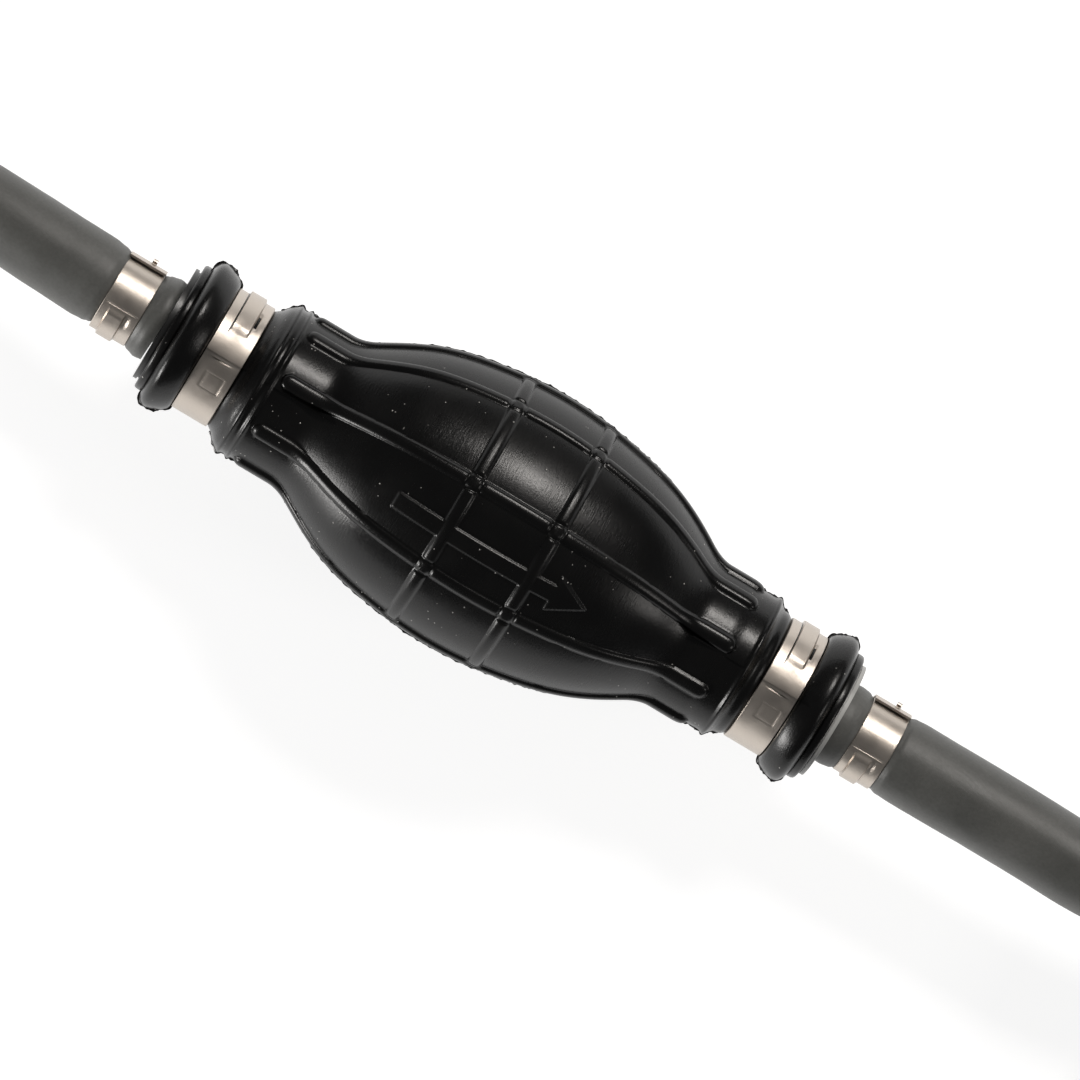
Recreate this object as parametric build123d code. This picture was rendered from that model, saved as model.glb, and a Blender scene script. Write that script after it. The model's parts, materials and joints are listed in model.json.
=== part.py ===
"""Siphon bulb pump: a hand-squeezed rubber primer bulb with two check valves and two fuel hoses.

Millimetres. +X is the flow direction along the bulb's axis and +Z is up. The bulb lies on z = 0, and the
origin is under its middle. The inlet end is at -X and the outlet end at +X.
"""

import os
from math import cos, pi, radians, sin, tan

from build123d import *

# Bulb moulding
BELLY_RADIUS = 28.0
RUBBER_WALL = 3.2
RIB_HEIGHT = 1.0
RIB_WIDTH = 2.8
TOP_RIB_ANGLE = 8.5
RIB_ANGLES = (-76.0, -32.5, TOP_RIB_ANGLE, 49.5, 76.0)
RIB_END = 51.0
RING_RIB_X = 9.3
RING_RIB_RADIUS = 28.4
RING_RIB_SPAN = 150.0
NECK_START = 43.5
NECK_RADII = {-1: 16.1, 1: 15.4}
SHOULDER_END = 55.6
GROOVE_START = 59.0
GROOVE_END = 67.2
GROOVE_RADIUS = 12.8
LIP_PEAK = 71.7
LIP_RADIUS = 16.1
LIP_ROUND = 0.9
LIP_ROUND_RUN = 1.9
LIP_FACE = 74.4
LIP_FACE_RADIUS = 13.4
CAVITY_NECK_RADIUS = 12.0
CAVITY_END = 48.5
BELLY_SIDE = [
    (-36.5, 18.9),
    (-28.2, 23.3),
    (-16, 26.6),
    (0, BELLY_RADIUS),
    (16, 26.2),
    (28.2, 22.7),
    (36.5, 18.4),
]

# Flow arrow moulded on the upper side
ARROW_ANGLE = -14.4
ARROW_TAIL_X = -20.8
ARROW_HEAD_X = 14.6
ARROW_TIP_X = 21.8
ARROW_SHAFT_WIDTH = 3.4
ARROW_HEAD_WIDTH = 7.6
ARROW_HEIGHT = 0.4

# The two side walls that the hand presses in
WALL_HALF_LENGTH = 30.0
WALL_HALF_HEIGHT = 14.0
WALL_GAP = 0.3
WALL_REACH = 40.0

# Valve housings with their flanges and hose barbs
INSERT_START = 50.0
INSERT_RADIUS = 9.6
INSERT_GROOVES = (57.0, 70.0)
INSERT_GROOVE_WIDTH = 1.6
INSERT_GROOVE_DEPTH = 0.5
CHAMBER_RADIUS = 7.4
CHAMBER_END = 68.0
FLANGE_RADIUS = 12.3
FLANGE_GROOVE = 0.4
FLANGE_END = 76.4
BARBS = (79.0, 84.8, 90.6)
BARB_SLOPE = 4.8
BARB_RADIUS = 5.3
BARB_ROOT_RADIUS = 4.6
BARB_END = 97.0
PORT_RADIUS = 3.3

# Check valves, each measured from its seat in the flow direction
INLET_SEAT_X = -CHAMBER_END
SEAT_RING_THICK = 3.5
OUTLET_SEAT_X = INSERT_START + SEAT_RING_THICK
SEAT_HOLE_RADIUS = 4.0
SEAL_THICK = 1.0
SEAL_RADIUS = 6.0
NOSE_RADIUS = 1.6
HEAD_RADIUS = 2.4
HEAD_THICK = 0.8
DISC_RADIUS = 6.2
DISC_THICK = 1.6
STEM_RADIUS = 1.5
STEM_LENGTH = 12.4
STEM_CLEARANCE = 0.08
SPRING_LENGTH = 8.9
SPRING_RADIUS = 2.5
SPRING_WIRE = 0.25
SPRING_TURNS = 6
RETAINER_THICK = 3.0
RETAINER_HUB_RADIUS = 3.4
RETAINER_RIM = 1.2
SPOKE_WIDTH = 1.6
SPOKE_COUNT = 3

# Band clamps, with the raised strap of their closing ear
NECK_CLAMP_X = 63.1
HOSE_CLAMP_X = 84.9
CLAMP_WIDTH = 8.0
NECK_BAND = 0.6
HOSE_BAND = 0.5
HOSE_BITE = 0.8
EAR_WIDTH = 4.0
EAR_RISE = 0.7
NECK_EAR = (20.0, 75.0)
HOSE_EAR = (-80.0, 62.0)

# Hoses: 3/8 inch bore
HOSE_RADIUS = 8.4
BORE_RADIUS = 4.75
FLOOR_HOSE_Z = 8.5
ARC_SHARE = 0.45

# Hank of the outlet hose: a flat loop of two levels folded round two centres
FOLD_RADIUS = 50.4
FOLD_NEAR_X = 210.8
FOLD_FAR_X = 392.0
HANK_LOW_Z = 10.0
HANK_HIGH_Z = 26.9
HANK_JOIN_X = 300.0
HANK_OVER_Y = -20.0
HOSE_END_X = 176.0
TIE_X = 330.0
TIE_WIDTH = 12.0
TIE_THICK = 1.4
TIE_GAP = 0.1

# How far a cutting tool runs past the face that it cuts
CUT_PAST = 1.0

# The lowest rib's edge rests on z = 0
CREST_RADIUS = BELLY_RADIUS + RIB_HEIGHT
AXIS_Z = CREST_RADIUS * cos(radians(TOP_RIB_ANGLE)) + RIB_WIDTH / 2 * sin(radians(TOP_RIB_ANGLE))

INLET_ROUTE = [
    (-FLANGE_END, 0, AXIS_Z),
    (-122, 2, AXIS_Z),
    (-181, 3, FLOOR_HOSE_Z),
    (-240, 3, FLOOR_HOSE_Z),
]
OUTLET_ROUTE = [
    (FLANGE_END, 0, AXIS_Z),
    (112, 0.6, AXIS_Z),
    (146, -0.5, AXIS_Z),
    (184, 10, HANK_HIGH_Z + 0.6),
    (222, 36, HANK_HIGH_Z),
    (258, FOLD_RADIUS, HANK_HIGH_Z),
    (HANK_JOIN_X, FOLD_RADIUS, HANK_HIGH_Z),
]


def spun(outline, arc=360):
    """A solid turned about the bulb's axis from an outline in the XZ plane, with radius along Z."""
    return Pos(0, 0, AXIS_Z) * revolve(make_face(outline), Axis.X, revolution_arc=arc)


def lines(points, close=False):
    """Straight lines through (x, radius) points."""
    return Polyline(*[(x, 0, r) for x, r in points], close=close)


def tube(inner, outer, start, end, arc=360):
    """A straight tube on the axis between two places along it."""
    return spun(lines([(start, inner), (end, inner), (end, outer), (start, outer)], close=True), arc)


def turned(shape, angle):
    """A shape turned about the bulb's axis, from the top towards +Y."""
    return Pos(0, 0, AXIS_Z) * Rot(-angle, 0, 0) * Pos(0, 0, -AXIS_Z) * shape


def belly_line(offset, radii):
    """The belly's side, moved outwards by an offset and running level into the two neck radii."""
    side = [(-NECK_START, radii[-1] - offset), *BELLY_SIDE, (NECK_START, radii[1] - offset)]
    return Spline(*[(x, 0, r + offset) for x, r in side], tangents=[(1, 0, 0), (1, 0, 0)])


def end_line(side):
    """The neck, shoulder, clamp groove and rounded lip of one end, out to its face."""
    neck = lines([
        (side * NECK_START, NECK_RADII[side]),
        (side * SHOULDER_END, NECK_RADII[side]),
        (side * GROOVE_START, GROOVE_RADIUS),
        (side * GROOVE_END, GROOVE_RADIUS),
    ])
    groove_edge = (side * GROOVE_END, 0, GROOVE_RADIUS)
    inner_round = (side * (GROOVE_END + LIP_ROUND_RUN), 0, LIP_RADIUS - LIP_ROUND)
    peak = (side * LIP_PEAK, 0, LIP_RADIUS)
    outer_round = (side * (LIP_PEAK + LIP_ROUND_RUN), 0, LIP_RADIUS - LIP_ROUND)
    face_edge = (side * LIP_FACE, 0, LIP_FACE_RADIUS)
    return neck + ThreePointArc(groove_edge, inner_round, peak) + ThreePointArc(peak, outer_round, face_edge)


def bulb_blank():
    """The bulb without its ribs: a hollow moulding, open at both necks."""
    closing = lines([
        (-LIP_FACE, LIP_FACE_RADIUS),
        (-LIP_FACE, 0),
        (LIP_FACE, 0),
        (LIP_FACE, LIP_FACE_RADIUS),
    ])
    outside = spun(end_line(-1) + belly_line(0, NECK_RADII) + end_line(1) + closing)
    cavity_radii = {-1: CAVITY_NECK_RADIUS, 1: CAVITY_NECK_RADIUS}
    cavity_ends = lines([
        (-NECK_START, CAVITY_NECK_RADIUS),
        (-CAVITY_END, CAVITY_NECK_RADIUS),
        (-INSERT_START, INSERT_RADIUS),
        (-INSERT_START, 0),
        (INSERT_START, 0),
        (INSERT_START, INSERT_RADIUS),
        (CAVITY_END, CAVITY_NECK_RADIUS),
        (NECK_START, CAVITY_NECK_RADIUS),
    ])
    cavity = spun(belly_line(-RUBBER_WALL, cavity_radii) + cavity_ends)
    return outside - cavity - tube(0, INSERT_RADIUS, -LIP_FACE - CUT_PAST, LIP_FACE + CUT_PAST)


def long_rib():
    """One lengthwise rib along the top, from neck to neck."""
    crest_radii = {side: radius + RIB_HEIGHT for side, radius in NECK_RADII.items()}
    root_radii = {side: radius - RUBBER_WALL / 2 for side, radius in NECK_RADII.items()}
    outline = belly_line(RIB_HEIGHT, crest_radii) + belly_line(-RUBBER_WALL / 2, root_radii)
    for side in (-1, 1):
        outline += lines([
            (side * NECK_START, crest_radii[side]),
            (side * RIB_END, crest_radii[side]),
            (side * RIB_END, root_radii[side]),
            (side * NECK_START, root_radii[side]),
        ])
    return Pos(0, 0, AXIS_Z) * extrude(make_face(outline), RIB_WIDTH / 2, both=True)


def belly_layer(low, high):
    """The layer of the belly between two heights over its plain outside."""
    high_radii = {side: radius + high for side, radius in NECK_RADII.items()}
    low_radii = {side: radius + low for side, radius in NECK_RADII.items()}
    outline = belly_line(high, high_radii) + belly_line(low, low_radii)
    for side in (-1, 1):
        outline += lines([(side * NECK_START, high_radii[side]), (side * NECK_START, low_radii[side])])
    return spun(outline)


def arrow():
    """The raised flow arrow, pointing along +X."""
    half_shaft, half_head = ARROW_SHAFT_WIDTH / 2, ARROW_HEAD_WIDTH / 2
    outline = Polyline(
        (ARROW_TAIL_X, -half_shaft),
        (ARROW_HEAD_X, -half_shaft),
        (ARROW_HEAD_X, -half_head),
        (ARROW_TIP_X, 0),
        (ARROW_HEAD_X, half_head),
        (ARROW_HEAD_X, half_shaft),
        (ARROW_TAIL_X, half_shaft),
        close=True,
    )
    prism = Pos(0, 0, AXIS_Z) * extrude(make_face(outline), CREST_RADIUS)
    return turned(prism & belly_layer(-RUBBER_WALL / 2, ARROW_HEIGHT), ARROW_ANGLE)


def wall_prism(half_length, half_height, side):
    """An oval block along Y, round one side wall."""
    oval = Plane.XZ * Ellipse(half_length, half_height)
    return Pos(0, 0, AXIS_Z) * extrude(oval, -side * WALL_REACH)


def bulb():
    """The bulb shell and the two side walls cut out of it."""
    whole = bulb_blank()
    for angle in RIB_ANGLES:
        for half_turn in (0, 180):
            whole += turned(long_rib(), angle + half_turn)
    for x in (-RING_RIB_X, RING_RIB_X):
        root = BELLY_RADIUS - RUBBER_WALL / 2
        ring_rib = tube(root, RING_RIB_RADIUS, x - RIB_WIDTH / 2, x + RIB_WIDTH / 2, arc=RING_RIB_SPAN)
        for half_turn in (0, 180):
            whole += turned(ring_rib, half_turn + RING_RIB_SPAN / 2)
    whole += arrow()
    made = {}
    for name, side in (("squeeze_wall_front", 1), ("squeeze_wall_back", -1)):
        made[name] = whole & wall_prism(WALL_HALF_LENGTH, WALL_HALF_HEIGHT, side)
    for side in (-1, 1):
        whole -= wall_prism(WALL_HALF_LENGTH + WALL_GAP, WALL_HALF_HEIGHT + WALL_GAP, side)
    made["bulb_shell"] = whole
    return made


def fitting(side):
    """A valve housing: insert, valve chamber, flange, and hose barb, as one moulding."""
    outline = [(INSERT_START, CHAMBER_RADIUS), (INSERT_START, INSERT_RADIUS), (LIP_FACE, INSERT_RADIUS)]
    outline += [(LIP_FACE, FLANGE_RADIUS), (FLANGE_END, FLANGE_RADIUS), (FLANGE_END, BARB_ROOT_RADIUS)]
    for x in BARBS:
        outline += [(x, BARB_ROOT_RADIUS), (x, BARB_RADIUS), (x + BARB_SLOPE, BARB_ROOT_RADIUS)]
    outline += [(BARB_END, BARB_ROOT_RADIUS), (BARB_END, PORT_RADIUS)]
    outline += [(CHAMBER_END, PORT_RADIUS), (CHAMBER_END, CHAMBER_RADIUS)]
    body = spun(lines([(side * x, r) for x, r in outline], close=True))
    for x in INSERT_GROOVES:
        body -= tube(INSERT_RADIUS - INSERT_GROOVE_DEPTH, INSERT_RADIUS + CUT_PAST,
                     side * x, side * (x + INSERT_GROOVE_WIDTH))
    middle = (LIP_FACE + FLANGE_END) / 2
    return body - tube(FLANGE_RADIUS - FLANGE_GROOVE, FLANGE_RADIUS + CUT_PAST,
                       side * (middle - FLANGE_GROOVE / 2), side * (middle + FLANGE_GROOVE / 2))


def check_valve(name, seat):
    """The moving poppet with its seal, the spring and the retainer of one valve."""
    disc_start = seat + SEAL_THICK
    disc_end = disc_start + DISC_THICK
    retainer_start = disc_end + SPRING_LENGTH
    retainer_end = retainer_start + RETAINER_THICK
    poppet = tube(0, HEAD_RADIUS, seat - HEAD_THICK, seat)
    poppet += tube(0, NOSE_RADIUS, seat, disc_start)
    poppet += tube(0, DISC_RADIUS, disc_start, disc_end)
    poppet += tube(0, STEM_RADIUS, disc_end, disc_end + STEM_LENGTH)
    retainer = tube(STEM_RADIUS, CHAMBER_RADIUS, retainer_start, retainer_end)
    retainer -= tube(RETAINER_HUB_RADIUS, CHAMBER_RADIUS - RETAINER_RIM, retainer_start, retainer_end)
    spoke_length = CHAMBER_RADIUS - RETAINER_RIM / 2
    spoke = Pos((retainer_start + retainer_end) / 2, 0, AXIS_Z + spoke_length / 2) * Box(
        RETAINER_THICK, SPOKE_WIDTH, spoke_length)
    for number in range(SPOKE_COUNT):
        retainer += turned(spoke, number * 360 / SPOKE_COUNT)
    retainer -= tube(0, STEM_RADIUS + STEM_CLEARANCE, retainer_start, retainer_end)
    return {
        f"{name}_valve_poppet": poppet,
        f"{name}_valve_seal": tube(NOSE_RADIUS, SEAL_RADIUS, seat, disc_start),
        f"{name}_valve_spring": spring(disc_end),
        f"{name}_spring_retainer": retainer,
    }


def spring(start):
    """A coil spring on the axis between a poppet's disc and its retainer."""
    height = SPRING_LENGTH - 2 * SPRING_WIRE
    path = Helix(height / SPRING_TURNS, height, SPRING_RADIUS, center=(start + SPRING_WIRE, 0, AXIS_Z),
                 direction=(1, 0, 0))
    wire = Plane(path @ 0, z_dir=path % 0) * Circle(SPRING_WIRE)
    return sweep(wire, path=path, is_frenet=True)


def band_clamp(x, inner, thick, ear):
    """A flat steel band with a raised ear strap, as one piece. The ear has a start angle and a span."""
    start, span = ear
    outer = inner + thick
    band = tube(inner, outer, x - CLAMP_WIDTH / 2, x + CLAMP_WIDTH / 2)
    strap = tube(inner, outer + EAR_RISE, x - EAR_WIDTH / 2, x + EAR_WIDTH / 2, arc=span)
    return band + turned(strap, start + span)


def corner_radii(route):
    """For each corner of a route, an arc as large as its two runs allow."""
    points = [Vector(*point) for point in route]
    radii = []
    for before, corner, after in zip(points, points[1:], points[2:]):
        run_in, run_out = corner - before, after - corner
        turn = run_in.get_angle(run_out)
        radii.append(ARC_SHARE * min(run_in.length, run_out.length) / tan(radians(turn) / 2))
    return radii


def hose_section():
    """The hose's ring-shaped cross-section."""
    return Circle(HOSE_RADIUS) - Circle(BORE_RADIUS)


def hose(route, label):
    """A hollow hose along a route of straight runs joined by tangent arcs."""
    radii = corner_radii(route)
    path = FilletPolyline(*route, radius=radii)
    made = sweep(Plane(path @ 0, z_dir=path % 0) * hose_section(), path=path)
    expected = pi * (HOSE_RADIUS**2 - BORE_RADIUS**2) * path.length
    straight = (Vector(*route[-1]) - Vector(*route[-2])).length * (1 - ARC_SHARE)
    print(label, "arc radii", [round(r) for r in radii], "length", round(path.length, 1),
          "volume ratio", round(made.volume / expected, 4), "straight end", round(straight, 2))
    return made


def loop_level(low_z, high_z):
    """One level of the hank: a long loop with round folds at both ends."""
    middle = Pos((FOLD_NEAR_X + FOLD_FAR_X) / 2, 0, low_z)
    centres = FOLD_FAR_X - FOLD_NEAR_X
    outer = SlotCenterToCenter(centres, 2 * (FOLD_RADIUS + HOSE_RADIUS))
    hole = SlotCenterToCenter(centres, 2 * (FOLD_RADIUS - HOSE_RADIUS))
    return middle * extrude(outer - hole, high_z - low_z)


def block(x_range, y_range, z_range):
    """A box between two places on each axis."""
    sizes = [high - low for low, high in (x_range, y_range, z_range)]
    middles = [(high + low) / 2 for low, high in (x_range, y_range, z_range)]
    return Pos(*middles) * Box(*sizes)


def hank():
    """The outer shape of the folded hose: open where the hose comes in above and where its end leaves."""
    low, high = HANK_LOW_Z - HOSE_RADIUS, HANK_HIGH_Z + HOSE_RADIUS
    between = (HANK_LOW_Z + HANK_HIGH_Z) / 2
    near_edge = FOLD_NEAR_X - 2 * FOLD_RADIUS
    wide = 2 * FOLD_RADIUS
    lower = loop_level(low, between) - block((near_edge, FOLD_NEAR_X), (-wide, 0), (low, between))
    upper = loop_level(between, high) - block((near_edge, HANK_JOIN_X), (HANK_OVER_Y, wide), (between, high))
    return lower + upper


def hank_ties():
    """Two flat straps, one round the stacked runs on each side of the hank."""
    low = HANK_LOW_Z - HOSE_RADIUS - TIE_GAP
    high = HANK_HIGH_Z + HOSE_RADIUS + TIE_GAP
    width, height = 2 * (HOSE_RADIUS + TIE_GAP), high - low
    ring = RectangleRounded(width + 2 * TIE_THICK, height + 2 * TIE_THICK, TIE_GAP + TIE_THICK)
    ring -= RectangleRounded(width, height, TIE_GAP)
    strap = extrude(Plane.YZ * ring, TIE_WIDTH)
    return Compound([Pos(TIE_X, side * FOLD_RADIUS, (low + high) / 2) * strap for side in (-1, 1)])


def build():
    nodes = bulb()
    for name, side, seat in (("inlet", -1, INLET_SEAT_X), ("outlet", 1, OUTLET_SEAT_X)):
        nodes[f"{name}_fitting"] = fitting(side)
        nodes |= check_valve(name, seat)
        nodes[f"{name}_neck_clamp"] = band_clamp(side * NECK_CLAMP_X, GROOVE_RADIUS, NECK_BAND, NECK_EAR)
        nodes[f"{name}_hose_clamp"] = band_clamp(
            side * HOSE_CLAMP_X, HOSE_RADIUS - HOSE_BITE, HOSE_BAND, HOSE_EAR)
    nodes["outlet_valve_seat"] = tube(SEAT_HOLE_RADIUS, CHAMBER_RADIUS, INSERT_START, OUTLET_SEAT_X)
    nodes["inlet_hose"] = hose(INLET_ROUTE, "inlet hose")
    nodes["outlet_hose"] = hose(OUTLET_ROUTE, "outlet hose")
    nodes["outlet_hose_hank"] = hank()
    end_face = Plane(origin=(HOSE_END_X, -FOLD_RADIUS, HANK_LOW_Z), z_dir=(1, 0, 0))
    nodes["outlet_hose_end"] = extrude(end_face * hose_section(), FOLD_NEAR_X - HOSE_END_X)
    nodes["hank_ties"] = hank_ties()
    return nodes


os.makedirs("parts", exist_ok=True)
for node, shape in build().items():
    export_step(shape, f"parts/{node}.step")
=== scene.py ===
"""The looks of the siphon bulb pump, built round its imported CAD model.

Shapes are worked out in millimetres and turned into metres when a mesh is made. +X is the flow direction
along the bulb's axis and +Z is up. Angles round the axis are in degrees from the top towards +Y.
"""
import json
from math import cos, pi, radians, sin

import bpy
import numpy as np
from mathutils import Matrix, Vector, noise


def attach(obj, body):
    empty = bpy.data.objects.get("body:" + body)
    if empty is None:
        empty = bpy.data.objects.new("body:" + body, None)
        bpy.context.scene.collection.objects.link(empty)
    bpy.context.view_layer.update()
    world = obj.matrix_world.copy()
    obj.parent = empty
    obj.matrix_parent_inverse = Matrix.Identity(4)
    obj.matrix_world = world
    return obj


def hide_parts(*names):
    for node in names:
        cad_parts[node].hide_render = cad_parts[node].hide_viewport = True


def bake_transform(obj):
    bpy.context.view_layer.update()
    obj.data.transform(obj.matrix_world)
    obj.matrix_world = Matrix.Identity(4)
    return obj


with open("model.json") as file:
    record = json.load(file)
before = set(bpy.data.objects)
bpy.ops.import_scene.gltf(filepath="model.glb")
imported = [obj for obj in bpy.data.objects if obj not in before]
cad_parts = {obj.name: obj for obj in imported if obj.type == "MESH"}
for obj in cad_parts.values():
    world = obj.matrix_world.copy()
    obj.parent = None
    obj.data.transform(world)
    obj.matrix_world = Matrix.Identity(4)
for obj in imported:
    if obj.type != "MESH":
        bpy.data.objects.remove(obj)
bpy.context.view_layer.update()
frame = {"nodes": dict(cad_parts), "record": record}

MM = 0.001

# Driving dimensions that the CAD model has too
BELLY_RADIUS = 28.0
RUBBER_WALL = 3.2
RIB_HEIGHT = 1.0
RIB_WIDTH = 2.8
TOP_RIB_ANGLE = 8.5
RIB_ANGLES = (-76.0, -32.5, TOP_RIB_ANGLE, 49.5, 76.0)
RIB_END = 51.0
RING_RIB_X = 9.3
RING_RIB_SPAN = 150.0
NECK_START = 43.5
NECK_RADII = {-1: 16.1, 1: 15.4}
SHOULDER_END = 55.6
GROOVE_START = 59.0
GROOVE_END = 67.2
GROOVE_RADIUS = 12.8
INSERT_START = 50.0
INSERT_RADIUS = 9.6
CAVITY_END = 48.5
CAVITY_NECK_RADIUS = 12.0
BELLY_SIDE = [
    (-36.5, 18.9),
    (-28.2, 23.3),
    (-16, 26.6),
    (0, BELLY_RADIUS),
    (16, 26.2),
    (28.2, 22.7),
    (36.5, 18.4),
]
FLANGE_END = 76.4
NECK_CLAMP_X = 63.1
HOSE_CLAMP_X = 84.9
CLAMP_WIDTH = 8.0
NECK_BAND_OUTER = 13.4
HOSE_BAND_INNER = 7.6
HOSE_BAND_OUTER = 8.1
HOSE_RADIUS = 8.4
BORE_RADIUS = 4.75
FLOOR_HOSE_Z = 8.5
FOLD_RADIUS = 50.4
FOLD_NEAR_X = 210.8
FOLD_FAR_X = 392.0
HANK_LOW_Z = 10.0
HANK_HIGH_Z = 26.9
HANK_JOIN_X = 300.0
HOSE_END_X = 176.0
TIE_X = 330.0
TIE_WIDTH = 12.0
TIE_THICK = 1.4
TIE_GAP = 0.1

CREST_RADIUS = BELLY_RADIUS + RIB_HEIGHT
AXIS_Z = CREST_RADIUS * cos(radians(TOP_RIB_ANGLE)) + RIB_WIDTH / 2 * sin(radians(TOP_RIB_ANGLE))


# ---------------------------------------------------------------- camera

CAMERA_DISTANCE = 2.0
CAMERA_TURN = 30.78
CAMERA_TILT = 2.9
VIEW_WIDTH = 0.2117
VIEW_CENTRE = Vector((8.55, 1.02, AXIS_Z)) * MM
SENSOR_WIDTH = 36.0


def make_camera():
    """A long lens that looks down on the bulb, with the bulb's axis running down to the right."""
    data = bpy.data.cameras.new("camera")
    data.sensor_width = SENSOR_WIDTH
    data.lens = SENSOR_WIDTH * CAMERA_DISTANCE / VIEW_WIDTH
    data.clip_end = 50
    camera = bpy.data.objects.new("camera", data)
    bpy.context.scene.collection.objects.link(camera)
    turn = Matrix.Rotation(-radians(CAMERA_TILT), 3, "Y") @ Matrix.Rotation(radians(CAMERA_TURN), 3, "Z")
    back = turn @ Vector((0, 0, 1))
    camera.matrix_world = Matrix.Translation(VIEW_CENTRE + back * CAMERA_DISTANCE) @ turn.to_4x4()
    bpy.context.scene.camera = camera


make_camera()


# ---------------------------------------------------------------- small tools

def smoothstep(low, high, value):
    """0 below low, 1 above high and a smooth turn between them."""
    t = np.clip((value - low) / (high - low), 0, 1)
    return t * t * (3 - 2 * t)


def spline_through(knots, values, at, slopes=None):
    """A smooth curve of values over knots, with level ends or the two end slopes given."""
    knots, values = np.asarray(knots, float), np.asarray(values, float)
    step = np.diff(knots)
    rise = np.diff(values) / step
    count = len(knots)
    matrix, right = np.zeros((count, count)), np.zeros(count)
    for i in range(1, count - 1):
        matrix[i, i - 1], matrix[i, i], matrix[i, i + 1] = step[i], 2 * (step[i - 1] + step[i]), step[i - 1]
        right[i] = 3 * (step[i] * rise[i - 1] + step[i - 1] * rise[i])
    matrix[0, 0] = matrix[-1, -1] = 1
    right[0], right[-1] = slopes or (0, 0)
    slope = np.linalg.solve(matrix, right)
    at = np.asarray(at, float)
    span = np.clip(np.searchsorted(knots, at) - 1, 0, count - 2)
    width = step[span]
    t = (at - knots[span]) / width
    start, end = values[span], values[span + 1]
    return ((2 * t**3 - 3 * t**2 + 1) * start + (t**3 - 2 * t**2 + t) * width * slope[span]
            + (3 * t**2 - 2 * t**3) * end + (t**3 - t**2) * width * slope[span + 1])


def rounded_line(points, spacing, start_way=None):
    """Points along a smooth curve through a few (x, radius) points, which may start in a given direction."""
    points = np.asarray(points, float)
    along = np.concatenate([[0], np.cumsum(np.linalg.norm(np.diff(points, axis=0), axis=1))])
    at = np.linspace(0, along[-1], int(along[-1] / spacing) + 2)
    first = (points[1] - points[0]) / along[1] if start_way is None else start_way
    last = (points[-1] - points[-2]) / (along[-1] - along[-2])
    columns = [spline_through(along, points[:, axis], at, (first[axis], last[axis])) for axis in (0, 1)]
    return np.stack(columns, axis=1)


def rough(x, y=0.0, z=0.0):
    """Smooth noise from -1 to 1 at a place."""
    return noise.noise(Vector((x, y, z)))


def make_piece(name, points, faces, materials, uv=None, face_materials=None, sharp=40):
    """A mesh object from points in millimetres."""
    mesh = bpy.data.meshes.new(name)
    mesh.from_pydata((np.asarray(points) * MM).tolist(), [], [list(map(int, face)) for face in faces])
    for material in materials:
        mesh.materials.append(material)
    if uv is not None:
        layer = mesh.uv_layers.new(name="surface")
        corners = np.zeros(len(mesh.loops), int)
        mesh.loops.foreach_get("vertex_index", corners)
        layer.data.foreach_set("uv", np.asarray(uv, np.float32)[corners].ravel())
    if face_materials is not None:
        mesh.polygons.foreach_set("material_index", np.asarray(face_materials, np.int32))
    mesh.shade_smooth()
    mesh.set_sharp_from_angle(angle=radians(sharp))
    mesh.validate()
    piece = bpy.data.objects.new(name, mesh)
    bpy.context.scene.collection.objects.link(piece)
    return piece


def grid_faces(rows, columns, first=0, close_rows=False, close_columns=False):
    """Quads over a grid of points that are numbered row by row."""
    row = np.arange(rows if close_rows else rows - 1)
    column = np.arange(columns if close_columns else columns - 1)
    row, column = np.meshgrid(row, column, indexing="ij")
    next_row, next_column = (row + 1) % rows, (column + 1) % columns
    corners = [row * columns + column, row * columns + next_column,
               next_row * columns + next_column, next_row * columns + column]
    return first + np.stack([c.ravel() for c in corners], axis=1)


def strip_faces(one, other):
    """Triangles between two lines of point numbers that have different counts."""
    faces, i, j = [], 0, 0
    while i < len(one) - 1 or j < len(other) - 1:
        take_one = j == len(other) - 1 or (i < len(one) - 1 and (i + 1) / len(one) <= (j + 1) / len(other))
        if take_one:
            faces.append((one[i], one[i + 1], other[j]))
            i += 1
        else:
            faces.append((one[i], other[j + 1], other[j]))
            j += 1
    return faces


def around(x, radius, angle):
    """Points at a place along the axis, a radius and an angle from the top towards +Y."""
    turn = np.radians(angle)
    return np.stack([x + 0 * turn, radius * np.sin(turn), AXIS_Z + radius * np.cos(turn)], axis=-1)


def surface_places(x, angle, radius):
    """Texture places of grids of points round the axis, in units of 100 mm."""
    x, angle = np.concatenate(x), np.concatenate(angle)
    return np.stack([x.ravel(), np.radians(angle.ravel()) * radius], axis=1) / 100


# ---------------------------------------------------------------- materials

def add(tree, kind, settings=None, inputs=None):
    """A shader node with its settings and its inputs, where an input may be another node's socket."""
    made = tree.nodes.new(kind)
    for key, value in (settings or {}).items():
        setattr(made, key, value)
    for key, value in (inputs or {}).items():
        socket = made.inputs[key]
        if isinstance(value, bpy.types.NodeSocket):
            tree.links.new(value, socket)
        else:
            socket.default_value = value
    return made


def start_material(name, **values):
    """A material with its principled shader's plain values set."""
    material = bpy.data.materials.new(name)
    material.use_nodes = True
    tree = material.node_tree
    shader = tree.nodes["Principled BSDF"]
    for key, value in values.items():
        shader.inputs[key.capitalize()].default_value = value
    return material, tree, shader


def coordinates(tree, scale=(1, 1, 1), from_uv=False):
    """Texture coordinates, scaled along each direction. Object ones are in metres."""
    source = add(tree, "ShaderNodeTexCoord").outputs["UV" if from_uv else "Object"]
    mapping = add(tree, "ShaderNodeMapping", inputs={"Vector": source, "Scale": scale})
    return mapping.outputs["Vector"]


def noise_of(tree, vector, scale, detail=3.0, roughness=0.5):
    """A noise texture's value."""
    inputs = {"Vector": vector, "Scale": scale, "Detail": detail, "Roughness": roughness}
    return add(tree, "ShaderNodeTexNoise", inputs=inputs).outputs["Fac"]


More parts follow.
